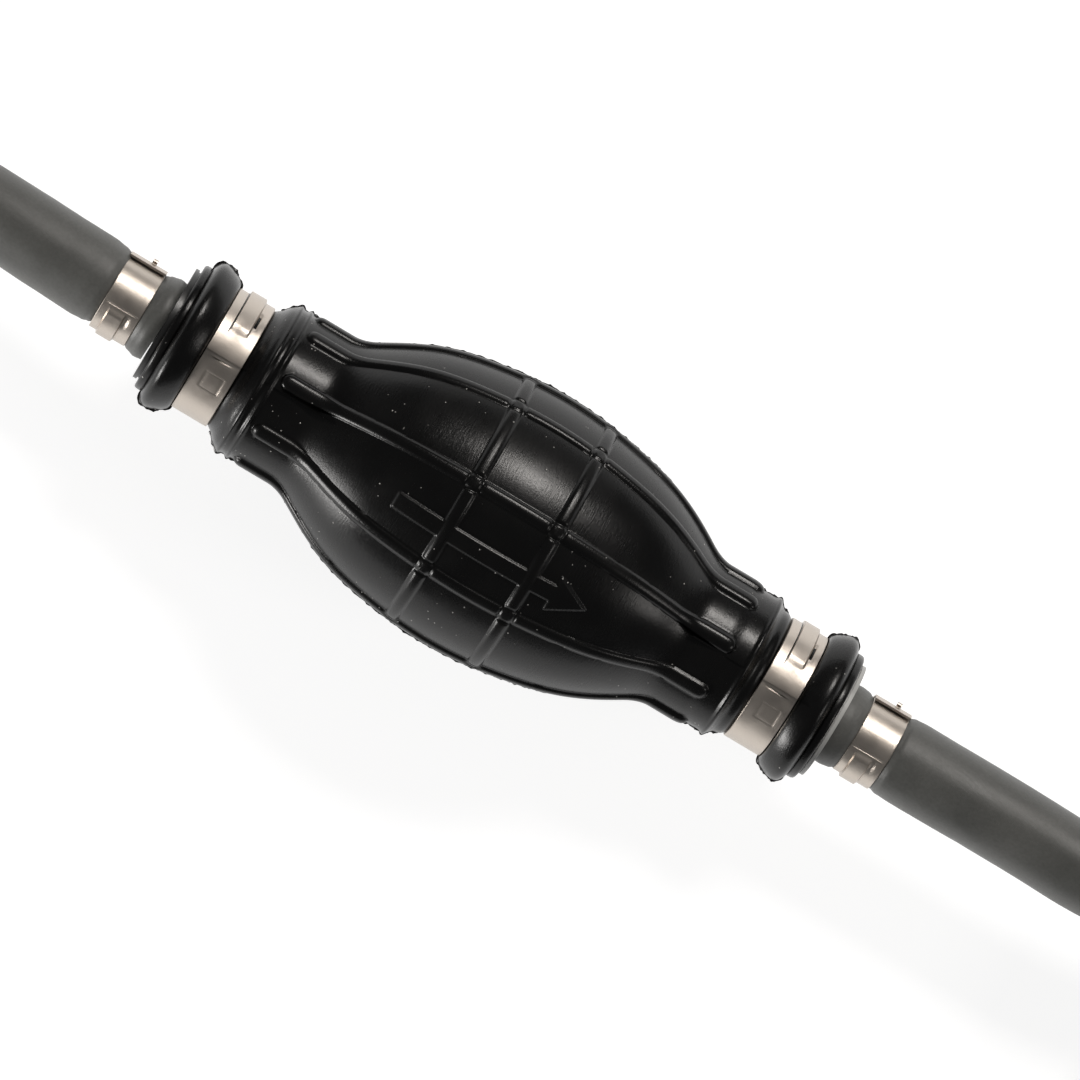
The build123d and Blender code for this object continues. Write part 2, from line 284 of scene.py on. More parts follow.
def between(tree, value, low, high, out_low=0.0, out_high=1.0):
    """A value brought from one range into another."""
    inputs = {"Value": value, "From Min": low, "From Max": high, "To Min": out_low, "To Max": out_high}
    return add(tree, "ShaderNodeMapRange", inputs=inputs).outputs["Result"]


def combine(tree, operation, one, other):
    """Two values put together by a math node."""
    made = add(tree, "ShaderNodeMath", {"operation": operation})
    for socket, value in zip(made.inputs, (one, other)):
        if isinstance(value, bpy.types.NodeSocket):
            tree.links.new(value, socket)
        else:
            socket.default_value = value
    return made.outputs["Value"]


def plus(tree, value, share, other):
    """A value plus a share of another."""
    return combine(tree, "ADD", value, combine(tree, "MULTIPLY", other, share))


def mix_colours(tree, factor, one, other):
    """A colour between two others. Either may be a plain colour or a socket."""
    made = add(tree, "ShaderNodeMix", {"data_type": "RGBA"})
    sockets = {"Factor": made.inputs[0], "A": made.inputs[6], "B": made.inputs[7]}
    for key, value in zip(sockets, (factor, one, other)):
        if isinstance(value, bpy.types.NodeSocket):
            tree.links.new(value, sockets[key])
        elif key == "Factor":
            sockets[key].default_value = value
        else:
            sockets[key].default_value = (*value, 1)
    return made.outputs[2]


def bump(tree, height, distance, strength):
    """Bump of a real depth, in metres."""
    inputs = {"Height": height, "Distance": distance, "Strength": strength}
    return add(tree, "ShaderNodeBump", inputs=inputs).outputs["Normal"]


def specks(tree, vector, scale, size, share):
    """1 on small spots that lie scattered at random, 0 elsewhere."""
    cells = add(tree, "ShaderNodeTexVoronoi", inputs={"Vector": vector, "Scale": scale, "Randomness": 1.0})
    near = between(tree, cells.outputs["Distance"], size * 0.6, size, 1.0, 0.0)
    chosen = combine(tree, "LESS_THAN", cells.outputs["Color"], share)
    return combine(tree, "MULTIPLY", near, chosen)


def connect(tree, shader, colour, roughness, normal):
    """Links the three inputs that vary over a surface."""
    for socket, key in ((colour, "Base Color"), (roughness, "Roughness"), (normal, "Normal")):
        tree.links.new(socket, shader.inputs[key])


def bulb_rubber():
    """Black moulded rubber: a soft gloss, faint mould grain round the bulb, and a little dust."""
    material, tree, shader = start_material("bulb_rubber", roughness=0.4)
    shader.inputs["Specular IOR Level"].default_value = 0.3
    grain = noise_of(tree, coordinates(tree, (34, 4, 1), from_uv=True), 10, 3, 0.6)
    fine = noise_of(tree, coordinates(tree), 2600, 2)
    patches = noise_of(tree, coordinates(tree), 95, 4)
    dust = specks(tree, coordinates(tree), 900, 0.14, 0.3)
    fibres = specks(tree, coordinates(tree, (520, 170, 520)), 1, 0.1, 0.12)
    dirt = combine(tree, "MAXIMUM", dust, fibres)
    dirt = combine(tree, "MULTIPLY", dirt, between(tree, patches, 0.5, 0.6))
    black = mix_colours(tree, patches, (0.0012, 0.0012, 0.0012), (0.0035, 0.0033, 0.0031))
    colour = mix_colours(tree, dirt, black, (0.6, 0.58, 0.55))
    roughness = between(tree, plus(tree, patches, 0.4, grain), 0.4, 1.0, 0.2, 0.34)
    height = plus(tree, plus(tree, grain, 0.35, fine), 1.5, dirt)
    connect(tree, shader, colour, roughness, bump(tree, height, 0.00004, 0.9))
    return material


def hose_rubber():
    """Grey extruded hose: satin, with faint lengthwise drawing, cloudy tone and small marks."""
    material, tree, shader = start_material("hose_rubber", roughness=0.5)
    along = noise_of(tree, coordinates(tree, (12, 300, 1), from_uv=True), 10, 2)
    clouds = noise_of(tree, coordinates(tree), 60, 5, 0.6)
    fine = noise_of(tree, coordinates(tree), 1500, 3)
    marks = specks(tree, coordinates(tree), 330, 0.12, 0.12)
    grey = mix_colours(tree, between(tree, clouds, 0.3, 0.7), (0.076, 0.077, 0.072), (0.112, 0.112, 0.105))
    grey = mix_colours(tree, between(tree, fine, 0.35, 0.75, 0.0, 0.25), grey, (0.035, 0.036, 0.033))
    colour = mix_colours(tree, marks, grey, (0.3, 0.3, 0.29))
    roughness = between(tree, clouds, 0.3, 0.7, 0.36, 0.52)
    height = plus(tree, plus(tree, combine(tree, "MULTIPLY", along, 0.5), 0.4, fine), 1.2, marks)
    connect(tree, shader, colour, roughness, bump(tree, height, 0.00004, 0.8))
    return material


def clamp_steel():
    """Stainless band: brushed lengthwise round the clamp, with small dings and a warm tone."""
    material, tree, shader = start_material("clamp_steel", metallic=1.0, roughness=0.3)
    brushed = noise_of(tree, coordinates(tree, (900, 16, 1), from_uv=True), 10, 4, 0.6)
    clouds = noise_of(tree, coordinates(tree), 220, 4)
    tone = mix_colours(tree, clouds, (0.54, 0.48, 0.42), (0.69, 0.63, 0.565))
    colour = mix_colours(tree, between(tree, brushed, 0.35, 0.65, 0.0, 0.4), tone, (0.37, 0.325, 0.28))
    roughness = between(tree, combine(tree, "ADD", brushed, clouds), 0.7, 1.3, 0.3, 0.46)
    height = plus(tree, brushed, 0.6, clouds)
    connect(tree, shader, colour, roughness, bump(tree, height, 0.00002, 0.7))
    return material


def moulded_plastic(name, dark, light, roughness, grain=900):
    """Injection-moulded plastic: flow-mottled tone, fine texture and uneven gloss."""
    material, tree, shader = start_material(name, roughness=roughness)
    flow = noise_of(tree, coordinates(tree), 130, 4)
    fine = noise_of(tree, coordinates(tree), grain, 3)
    colour = mix_colours(tree, between(tree, flow, 0.3, 0.7), dark, light)
    shine = between(tree, flow, 0.3, 0.7, roughness - 0.07, roughness + 0.09)
    connect(tree, shader, colour, shine, bump(tree, fine, 0.00002, 0.6))
    return material


def spring_wire():
    """Bright drawn stainless wire with faint die lines."""
    material, tree, shader = start_material("spring_steel", metallic=1.0, roughness=0.25)
    drawn = noise_of(tree, coordinates(tree, (400, 2500, 2500)), 1, 3)
    colour = mix_colours(tree, drawn, (0.5, 0.5, 0.5), (0.68, 0.67, 0.66))
    roughness = between(tree, drawn, 0.3, 0.7, 0.2, 0.36)
    connect(tree, shader, colour, roughness, bump(tree, drawn, 0.00001, 0.5))
    return material


def woven_strap():
    """Black hook-and-loop webbing: a fine weave with fuzzy, uneven thread tone."""
    material, tree, shader = start_material("tie_strap", roughness=0.85)
    shader.inputs["Sheen Weight"].default_value = 0.4
    shader.inputs["Sheen Roughness"].default_value = 0.5
    surface = coordinates(tree, from_uv=True)
    waves = []
    for direction in ("X", "Y"):
        settings = {"wave_type": "BANDS", "bands_direction": direction, "wave_profile": "SIN"}
        inputs = {"Vector": surface, "Scale": 42, "Distortion": 0.8, "Detail": 2.0}
        waves.append(add(tree, "ShaderNodeTexWave", settings, inputs).outputs["Fac"])
    fuzz = noise_of(tree, coordinates(tree), 1800, 4, 0.7)
    height = plus(tree, combine(tree, "MULTIPLY", *waves), 0.8, fuzz)
    colour = mix_colours(tree, between(tree, height, 0.2, 1.3), (0.008, 0.008, 0.009), (0.04, 0.04, 0.043))
    roughness = between(tree, fuzz, 0.2, 0.8, 0.75, 0.95)
    connect(tree, shader, colour, roughness, bump(tree, height, 0.00025, 0.9))
    return material


BULB_RUBBER = bulb_rubber()
HOSE_RUBBER = hose_rubber()
CLAMP_STEEL = clamp_steel()
TIE_STRAP = woven_strap()
SLOT_MATERIALS = {
    "black_nylon": moulded_plastic("black_nylon", (0.008, 0.008, 0.008), (0.018, 0.018, 0.018), 0.32),
    "natural_nylon": moulded_plastic("natural_nylon", (0.36, 0.36, 0.35), (0.47, 0.47, 0.455), 0.42),
    "acetal": moulded_plastic("acetal", (0.76, 0.76, 0.72), (0.86, 0.86, 0.83), 0.25),
    "seal_rubber": moulded_plastic("seal_rubber", (0.01, 0.01, 0.01), (0.022, 0.022, 0.022), 0.5, 1400),
    "spring_steel": spring_wire(),
    "bulb_rubber": BULB_RUBBER,
    "hose_rubber": HOSE_RUBBER,
    "clamp_steel": CLAMP_STEEL,
    "tie_strap": TIE_STRAP,
}


def finish_cad_nodes():
    """Gives every CAD node the material of its slot."""
    slots = {part["node"]: part["material_slot"] for part in frame["record"]["subparts"]}
    for name, node in frame["nodes"].items():
        node.data.materials.clear()
        node.data.materials.append(SLOT_MATERIALS[slots[name]])


finish_cad_nodes()


# ---------------------------------------------------------------- hoses

INLET_ROUTE = [
    (-FLANGE_END, 0, AXIS_Z),
    (-122, 2, AXIS_Z),
    (-181, 3, FLOOR_HOSE_Z),
    (-240, 3, FLOOR_HOSE_Z),
]
OUTLET_ROUTE = [
    (FLANGE_END, 0, AXIS_Z),
    (112, 0.6, AXIS_Z),
    (146, -0.5, AXIS_Z),
    (184, 10, HANK_HIGH_Z + 0.6),
    (222, 36, HANK_HIGH_Z),
    (258, FOLD_RADIUS, HANK_HIGH_Z),
    (HANK_JOIN_X, FOLD_RADIUS, HANK_HIGH_Z),
]
FOLD_STEP = 30.0
FOLD_STEPS = 6
DROP_ANGLES = (25.0, 95.0)
CURVE_FINENESS = 40
RING_COUNT = 72
FINE_RING = 0.45
COARSE_RING = 2.4
FINE_REACH = 26.0
END_ROUND = 0.5
UNEVEN_NEAR = (20.0, 70.0)
UNDER_CLAMP = (3.6, 13.0)
TIE_END_PLACES = (0.04, 0.3)
TIE_END_THICK = 1.0


def fold(centre_x, start_side, z_of):
    """The points of one half turn of the hank, from the leg at one side to the leg at the other."""
    reach = FOLD_RADIUS / cos(radians(FOLD_STEP / 2))
    outwards = 1 if centre_x == FOLD_FAR_X else -1
    points = []
    for number in range(FOLD_STEPS):
        angle = FOLD_STEP * (number + 0.5)
        x = centre_x + outwards * reach * sin(radians(angle))
        points.append((x, start_side * reach * cos(radians(angle)), z_of(angle)))
    return points


def hank_route():
    """The hank's legs and folds: along the top, down at the near fold, and back along the bottom."""
    middle_x = (FOLD_NEAR_X + FOLD_FAR_X) / 2

    def drop(angle):
        return HANK_HIGH_Z + (HANK_LOW_Z - HANK_HIGH_Z) * float(smoothstep(*DROP_ANGLES, angle))

    points = fold(FOLD_FAR_X, 1, lambda angle: HANK_HIGH_Z)
    points.append((middle_x, -FOLD_RADIUS, HANK_HIGH_Z))
    points += fold(FOLD_NEAR_X, -1, drop)
    points.append((middle_x, FOLD_RADIUS, HANK_LOW_Z))
    points += fold(FOLD_FAR_X, 1, lambda angle: HANK_LOW_Z)
    points.append((middle_x, -FOLD_RADIUS, HANK_LOW_Z))
    points.append((HOSE_END_X, -FOLD_RADIUS, HANK_LOW_Z))
    return points


def smooth_path(name, route):
    """Points along the NURBS curve that has a route's points as its control points."""
    curve = bpy.data.curves.new(name, "CURVE")
    curve.dimensions = "3D"
    curve.resolution_u = CURVE_FINENESS
    spline = curve.splines.new("NURBS")
    spline.points.add(len(route) - 1)
    for point, place in zip(spline.points, route):
        point.co = (*(Vector(place) * MM), 1)
    spline.order_u = 3
    spline.use_endpoint_u = True
    holder = bpy.data.objects.new(name, curve)
    bpy.context.scene.collection.objects.link(holder)
    bpy.context.view_layer.update()
    mesh = bpy.data.meshes.new_from_object(holder)
    points = np.array([vertex.co for vertex in mesh.vertices]) / MM
    bpy.data.objects.remove(holder)
    bpy.data.meshes.remove(mesh)
    keep = np.concatenate([[True], np.linalg.norm(np.diff(points, axis=0), axis=1) > 1e-6])
    return points[keep]


def hose_radius(along, swell):
    """The outside radius at a distance from the flange: swollen over the barb and nipped in by the clamp."""
    clamp_start = HOSE_CLAMP_X - CLAMP_WIDTH / 2 - FLANGE_END
    clamp_end = clamp_start + CLAMP_WIDTH
    under = HOSE_BAND_INNER - 0.04
    stations = [
        (0, HOSE_RADIUS + swell * 0.5),
        (1.6, HOSE_RADIUS + swell),
        (clamp_start - 1.2, HOSE_RADIUS + swell * 0.2),
        (clamp_start - 0.1, HOSE_BAND_OUTER - 0.15),
        (clamp_start + 0.5, under),
        (clamp_end - 0.5, under),
        (clamp_end + 0.1, HOSE_BAND_OUTER - 0.15),
        (clamp_end + 1.6, HOSE_RADIUS),
        (clamp_end + 4.2, HOSE_RADIUS + swell * 0.5),
        (clamp_end + 12, HOSE_RADIUS + swell * 0.35),
        (clamp_end + 34, HOSE_RADIUS),
    ]
    places, radii = zip(*stations)
    where = np.clip(np.searchsorted(places, along) - 1, 0, len(places) - 2)
    places, radii = np.array(places), np.array(radii)
    t = np.clip((along - places[where]) / (places[where + 1] - places[where]), 0, 1)
    return radii[where] + (radii[where + 1] - radii[where]) * t * t * (3 - 2 * t)


def hose_piece(name, route, swell, seed):
    """A hollow hose along a route, open at its far end, with a slightly uneven outside."""
    path = smooth_path(name + "_route", route)
    lengths = np.concatenate([[0], np.cumsum(np.linalg.norm(np.diff(path, axis=0), axis=1))])
    total = lengths[-1]
    fine = np.arange(0, FINE_REACH, FINE_RING)
    coarse = np.linspace(FINE_REACH, total - 2 * END_ROUND, int((total - FINE_REACH) / COARSE_RING))
    places = np.concatenate([fine, coarse, [total - END_ROUND, total]])
    centres = np.stack([np.interp(places, lengths, path[:, axis]) for axis in range(3)], axis=1)
    ways = np.gradient(centres, places, axis=0)
    ways /= np.linalg.norm(ways, axis=1)[:, None]
    side = np.array((0.0, 1.0, 0.0))
    angles = np.linspace(0, 2 * pi, RING_COUNT, endpoint=False)
    radii = hose_radius(places, swell)
    outside, uv = [], []
    for centre, way, radius, place in zip(centres, ways, radii, places):
        side = side - way * np.dot(side, way)
        side /= np.linalg.norm(side)
        up = np.cross(way, side)
        near = 1 - float(smoothstep(*UNEVEN_NEAR, place))
        loose = float(not UNDER_CLAMP[0] <= place <= UNDER_CLAMP[1])
        for angle in angles:
            way_out = cos(angle) * side + sin(angle) * up
            lump = rough(place * 0.09 + seed, cos(angle) * 1.3, sin(angle) * 1.3)
            dent = rough(place * 0.3 + seed, cos(angle) * 3, sin(angle) * 3)
            outside.append(centre + way_out * (radius + loose * near * (0.1 * lump + 0.05 * dent)))
            uv.append((place / 100, angle * HOSE_RADIUS / 100))
    outside = np.array(outside).reshape(len(places), RING_COUNT, 3)
    outside[-1] = centres[-1] + (outside[-1] - centres[-1]) * (1 - END_ROUND * 0.7 / HOSE_RADIUS)
    inner_places = np.unique(np.concatenate([np.arange(0, len(places), 4), [len(places) - 1]]))
    spokes = (outside - centres[:, None])[inner_places]
    spokes = spokes * (BORE_RADIUS / np.linalg.norm(spokes, axis=2))[..., None]
    inside = centres[inner_places][:, None] + spokes
    points = np.concatenate([outside.reshape(-1, 3), inside.reshape(-1, 3)])
    first_inside = len(places) * RING_COUNT
    faces = list(grid_faces(len(places), RING_COUNT, close_columns=True))
    faces += list(grid_faces(len(inner_places), RING_COUNT, first_inside, close_columns=True)[:, ::-1])
    for outer_row, inner_row, flip in ((0, 0, 1), (len(places) - 1, len(inner_places) - 1, -1)):
        outer_ring = outer_row * RING_COUNT
        inner_ring = first_inside + inner_row * RING_COUNT
        for number in range(RING_COUNT):
            after = (number + 1) % RING_COUNT
            face = (outer_ring + number, inner_ring + number, inner_ring + after, outer_ring + after)
            faces.append(face[::flip])
    uv += [uv[row * RING_COUNT + number] for row in inner_places for number in range(RING_COUNT)]
    piece = make_piece(name, points, faces, [HOSE_RUBBER], uv)
    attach(piece, "pump")
    return piece, centres * MM


def strap_loop(y, path_offset, start, end, thick):
    """One layer of a strap round two stacked runs, between two places along its loop of 0 to 1."""
    radius = HOSE_RADIUS + path_offset
    height = HANK_HIGH_Z - HANK_LOW_Z
    around_length = 2 * height + 2 * pi * radius
    out = 1 if y > 0 else -1
    rows = []
    for place in np.linspace(start, end, int(220 * (end - start))):
        way = (place % 1) * around_length
        if way < height:
            centre, normal = (HANK_LOW_Z + way), (out, 0)
        elif way < height + pi * radius:
            turn = (way - height) / radius
            centre, normal = HANK_HIGH_Z, (out * cos(turn), sin(turn))
        elif way < 2 * height + pi * radius:
            centre, normal = HANK_HIGH_Z - (way - height - pi * radius), (-out, 0)
        else:
            turn = (way - 2 * height - pi * radius) / radius
            centre, normal = HANK_LOW_Z, (-out * cos(turn), -sin(turn))
        rows.append((centre, normal, way))
    half = TIE_WIDTH / 2
    section = [(-half, 0.3), (-half, thick - 0.3), (-half + 0.3, thick), (-half + 1.4, thick - 0.12)]
    section += [(x, thick) for x in np.linspace(-half + 2, half - 2, 9)]
    section += [(half - 1.4, thick - 0.12), (half - 0.3, thick), (half, thick - 0.3), (half, 0.3)]
    section += [(half - 0.3, 0), (-half + 0.3, 0)]
    points, uv = [], []
    for centre, normal, way in rows:
        for x, out_by in section:
            ripple = 0.06 * rough(way * 0.5, x * 0.6, y)
            reach = radius + out_by + ripple
            points.append((TIE_X + half + x, y + normal[0] * reach, centre + normal[1] * reach))
            uv.append((way / 100, x / 100))
    return points, uv, len(rows), len(section)


def hank_straps():
    """Two hook-and-loop straps, each round two stacked runs, with an overlapping end on the outer side."""
    points, uv, faces = [], [], []
    for y in (FOLD_RADIUS, -FOLD_RADIUS):
        layers = [
            strap_loop(y, TIE_GAP, 0, 1, TIE_THICK),
            strap_loop(y, TIE_GAP + TIE_THICK, *TIE_END_PLACES, TIE_END_THICK),
        ]
        for layer, (layer_points, layer_uv, rows, columns) in enumerate(layers):
            first = len(points)
            points += layer_points
            uv += layer_uv
            closed = layer == 0
            if closed:
                points[-columns:] = points[first:first + columns]
            made = grid_faces(rows, columns, first, close_columns=True)
            if closed:
                last_row = first + (rows - 1) * columns
                made = np.where(made >= last_row, made - last_row + first, made)
                del points[last_row:], uv[last_row:]
            else:
                faces.append(list(range(first, first + columns)))
                faces.append(list(range(first + (rows - 1) * columns, first + rows * columns))[::-1])
            faces += list(made)
    piece = make_piece("hank_straps", points, faces, [TIE_STRAP], uv, sharp=60)
    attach(piece, "pump")
    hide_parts("hank_ties")
    return piece


def make_hoses():
    """Both hoses along their routes, and the two straps round the outlet hose's hank."""
    inlet, inlet_path = hose_piece("inlet_fuel_hose", INLET_ROUTE, swell=0.5, seed=3.1)
    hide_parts("inlet_hose")
    outlet_route = OUTLET_ROUTE + hank_route()
    outlet, outlet_path = hose_piece("outlet_fuel_hose", outlet_route, swell=0.25, seed=8.7)
    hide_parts("outlet_hose", "outlet_hose_hank", "outlet_hose_end")
    hank_straps()


make_hoses()


# ---------------------------------------------------------------- bulb

DISC_START = 73.5
DISC_END = 75.2
DISC_RADIUS = 13.85
DISC_INNER_RADIUS = 12.4
BELLY_SPACING = 0.45
FINE_SPACING = 0.2
BAR_ROUNDNESS = 2.6
BAR_FOOT = 0.65
BAR_SPREAD = 0.15
RIB_FLARE = 0.25
RING_HEIGHT = 1.05
RING_END_TURN = 2.5
CHANNEL_DEPTH = 0.3
CHANNEL_EDGE = (1.95, 2.15)
CHANNEL_FADE = (38.0, 44.0)
NECK_GROOVE_DEPTH = 0.15
NECK_GROOVE_FADE = (40.0, 45.0)
NOTCH_AT = 1.55
NOTCH_WIDTH = 0.35
NOTCH_SHARE = 0.35
ARROW_ANGLE = -14.4
ARROW_TAIL_X = -20.8
ARROW_HEAD_X = 14.6
ARROW_TIP_X = 21.8
ARROW_SHAFT_HALF = 1.7
ARROW_HEAD_HALF = 3.8
ARROW_HEIGHT = 0.5
ARROW_EDGE = 0.26
SHOULDER_RIDGES = {-1: ((52.6, 0.5), (54.7, 0.5)), 1: ((55.1, 0.45),)}
RIDGE_WIDTH = 0.48
FLASH_ANGLE = 90.0
FLASH_WIDTH = 0.16
FLASH_STEPS = (0.1, 0.22, 0.38, 0.6, 1.0)
SEAM_STEP = 0.12
BASE_TURN = 1.5
FINE_TURN = 0.45
RIB_TURN = 5.6
ARROW_TURN = 9.4


def rib_angles():
    """The angles of all lengthwise ribs, from -180 to 180. The underside repeats the top by a half turn."""
    return [(angle + half_turn + 180) % 360 - 180 for angle in RIB_ANGLES for half_turn in (0, 180)]


def angle_lines(side):
    """Angles of the half's lengthwise lines: close together on ribs, arrow, parting line and seams."""
    lines = list(np.arange(BASE_TURN, 180, BASE_TURN))
    lines += [0, SEAM_STEP, 180 - SEAM_STEP, 180]
    lines += [FLASH_ANGLE + way * step for way in (-1, 1) for step in FLASH_STEPS]
    for angle, reach in [(rib, RIB_TURN) for rib in rib_angles()] + [(ARROW_ANGLE, ARROW_TURN)]:
        lines += list(side * (angle + np.arange(-reach, reach + FINE_TURN / 2, FINE_TURN)))
    lines = np.unique(np.round([line for line in lines if 0 <= line <= 180], 3))
    keep = [0.0]
    for line in lines[1:]:
        near_flash = abs(line - FLASH_ANGLE) < 1.2
        if line - keep[-1] >= (0.09 if near_flash or line < 1 or line > 179 else 0.2):
            keep.append(line)
    keep[-1] = 180.0
    return side * np.array(keep)


def belly_radius(x, offset, ends):
    """The belly's side, moved outwards by an offset and running level into the two end radii."""
    stations = [(-NECK_START, ends[-1]), *[(place, radius + offset) for place, radius in BELLY_SIDE],
                (NECK_START, ends[1])]
    places, radii = zip(*stations)
    return spline_through(places, radii, x)


def end_outline(side):
    """The outside of one end from the neck to the bore, as (x, radius) points with x counted outwards."""
    neck = NECK_RADII[side]
    straight = np.arange(NECK_START + FINE_SPACING, SHOULDER_END - 0.6, FINE_SPACING)
    dip = 0.0 if side < 0 else 0.35
    level = neck - dip * smoothstep(48.5, 51.7, straight)
    line = [np.stack([straight, level], axis=1)]
    slope = [(SHOULDER_END - 0.6, level[-1]), (SHOULDER_END + 0.1, neck - dip - 0.25),
             (SHOULDER_END + 1.2, neck - dip - 1.15), (SHOULDER_END + 2.5, GROOVE_RADIUS + 0.75),
             (GROOVE_START, GROOVE_RADIUS + 0.1)]
    line.append(rounded_line(slope, FINE_SPACING, (1, 0)))
    line.append(np.array([(GROOVE_START + 0.2, GROOVE_RADIUS), (GROOVE_END - 0.2, GROOVE_RADIUS)]))
    lip = [(GROOVE_END, GROOVE_RADIUS + 0.1), (GROOVE_END + 0.1, 13.9), (68.2, 14.85), (69.4, 15.5),
           (70.6, 15.95), (71.6, 16.1), (72.4, 15.85), (73.0, 15.2), (DISC_START - 0.1, DISC_RADIUS + 0.55)]
    line.append(rounded_line(lip, FINE_SPACING))
    disc = [(DISC_START, DISC_RADIUS - 0.15), (DISC_START + 0.15, DISC_RADIUS),
            (DISC_START + 0.5, DISC_RADIUS + 0.06), (DISC_END - 0.5, DISC_RADIUS + 0.02),
            (DISC_END - 0.15, DISC_RADIUS - 0.12), (DISC_END, DISC_RADIUS - 0.35),
            (DISC_END, DISC_INNER_RADIUS)]
    line.append(np.array(disc))
    return np.concatenate(line)


def bulb_outline():
    """The outside of the whole bulb from face to face, with close points where it has detail."""
    rings = [np.arange(x - 2.2, x + 2.2, FINE_SPACING) for x in (-RING_RIB_X, RING_RIB_X)]
    head = np.arange(ARROW_HEAD_X - 0.6, ARROW_TIP_X + 0.6, FINE_SPACING * 1.5)
    tail = np.arange(ARROW_TAIL_X - 0.6, ARROW_TAIL_X + 0.6, FINE_SPACING)
    even = np.arange(-NECK_START, NECK_START + BELLY_SPACING / 2, BELLY_SPACING)
    x = np.unique(np.round(np.concatenate([even, *rings, head, tail]), 2))
    x = x[np.concatenate([[True], np.diff(x) > 0.09])]
    belly = np.stack([x, belly_radius(x, 0, NECK_RADII)], axis=1)
    left, right = end_outline(-1)[::-1] * (-1, 1), end_outline(1)
    return np.concatenate([left, belly, right])


def inner_outline():
    """The inside of the bulb from face to face."""
    x = np.linspace(-NECK_START, NECK_START, 41)
    ends = {-1: CAVITY_NECK_RADIUS, 1: CAVITY_NECK_RADIUS}
    belly = np.stack([x, belly_radius(x, -RUBBER_WALL, ends)], axis=1)
    end = np.array([(CAVITY_END, CAVITY_NECK_RADIUS), (INSERT_START, INSERT_RADIUS), (62, INSERT_RADIUS),
                    (DISC_END, INSERT_RADIUS)])
    return np.concatenate([end[::-1] * (-1, 1), belly, end])


def polygon_distance(x, y, corners):
    """Signed distance to a polygon, negative inside."""
    nearest = np.full(x.shape, np.inf)
    inside = np.zeros(x.shape, bool)
    for (ax, ay), (bx, by) in zip(corners, corners[1:] + corners[:1]):
        ex, ey = bx - ax, by - ay
        t = np.clip(((x - ax) * ex + (y - ay) * ey) / (ex * ex + ey * ey), 0, 1)
        nearest = np.minimum(nearest, np.hypot(x - ax - t * ex, y - ay - t * ey))
        crosses = (ay > y) != (by > y)
        with np.errstate(divide="ignore", invalid="ignore"):
            inside ^= crosses & (x < ax + (y - ay) * ex / (by - ay if by != ay else np.inf))
    return np.where(inside, -nearest, nearest)


ARROW_CORNERS = [
    (ARROW_TAIL_X, -ARROW_SHAFT_HALF),
    (ARROW_HEAD_X, -ARROW_SHAFT_HALF),
    (ARROW_HEAD_X, -ARROW_HEAD_HALF),
    (ARROW_TIP_X, 0),
    (ARROW_HEAD_X, ARROW_HEAD_HALF),
    (ARROW_HEAD_X, ARROW_SHAFT_HALF),
    (ARROW_TAIL_X, ARROW_SHAFT_HALF),
]


def surface_height(x, radius, angle):
    """How far the moulded ribs, ridges and arrow stand out of the plain bulb, and the channels lie in it."""
    arc_to_rib = np.full(x.shape, np.inf)
    for rib in rib_angles():
        arc = np.abs((angle - rib + 180) % 360 - 180)
        arc_to_rib = np.minimum(arc_to_rib, np.radians(arc) * radius)
    past_end = np.maximum(np.abs(x) - (RIB_END - RIB_WIDTH / 2), 0)
    to_rib = np.hypot(arc_to_rib, past_end)
    from_middle = np.abs((angle + 90) % 180 - 90)
    past_ring = np.radians(np.maximum(from_middle - RING_RIB_SPAN / 2 + RING_END_TURN, 0)) * radius
    to_ring = np.hypot(np.abs(x) - RING_RIB_X, past_ring)

    def bar(distance, half_width):
        return np.maximum(1 - (distance / half_width) ** BAR_ROUNDNESS, 0) ** BAR_FOOT

    def notch(distance):
        return 1 - NOTCH_SHARE * np.exp(-((distance - NOTCH_AT) / NOTCH_WIDTH) ** 2)

    half_width = RIB_WIDTH / 2 + BAR_SPREAD + RIB_FLARE * smoothstep(*CHANNEL_FADE, np.abs(x))
    rib = RIB_HEIGHT * bar(to_rib, half_width) * notch(to_ring)
    ring = RING_HEIGHT * bar(to_ring, RIB_WIDTH / 2 + BAR_SPREAD) * notch(arc_to_rib)
    in_belly = 1 - smoothstep(*CHANNEL_FADE, np.abs(x))
    channel = CHANNEL_DEPTH * (1 - smoothstep(*CHANNEL_EDGE, np.minimum(to_rib, to_ring))) * in_belly
    height = np.maximum(rib, ring) - channel
    groove = np.exp(-((to_rib - half_width - 0.2) / 0.25) ** 2) * smoothstep(*NECK_GROOVE_FADE, np.abs(x))
    height = height - NECK_GROOVE_DEPTH * groove
    arrow_arc = np.radians(angle - ARROW_ANGLE) * radius
    arrow = ARROW_HEIGHT * smoothstep(ARROW_EDGE, -ARROW_EDGE, polygon_distance(x, arrow_arc, ARROW_CORNERS))
    height = np.maximum(height, arrow * (np.abs(x) < NECK_START))
    for side, ridges in SHOULDER_RIDGES.items():
        for place, rise in ridges:
            height = height + rise * np.exp(-((side * x - place) / RIDGE_WIDTH) ** 2)
    return height


def flash_height(x):
    """The ragged fin on the parting line: low on the belly, higher on the shoulders and lips."""
    out = abs(x)
    ragged = max(0.0, rough(x * 0.9, 4.2) + 0.5 * rough(x * 2.3, 1.7) + 0.35)
    if GROOVE_START - 1 < out < GROOVE_END:
        return 0.0
    if out > GROOVE_END:
        return 0.15 + 0.5 * ragged
    if out > NECK_START:
        return 0.1 + 0.4 * ragged
    tooth = 0.12 * max(0.0, sin(x * 2.1)) ** 3
    return 0.12 + 0.2 * ragged + tooth


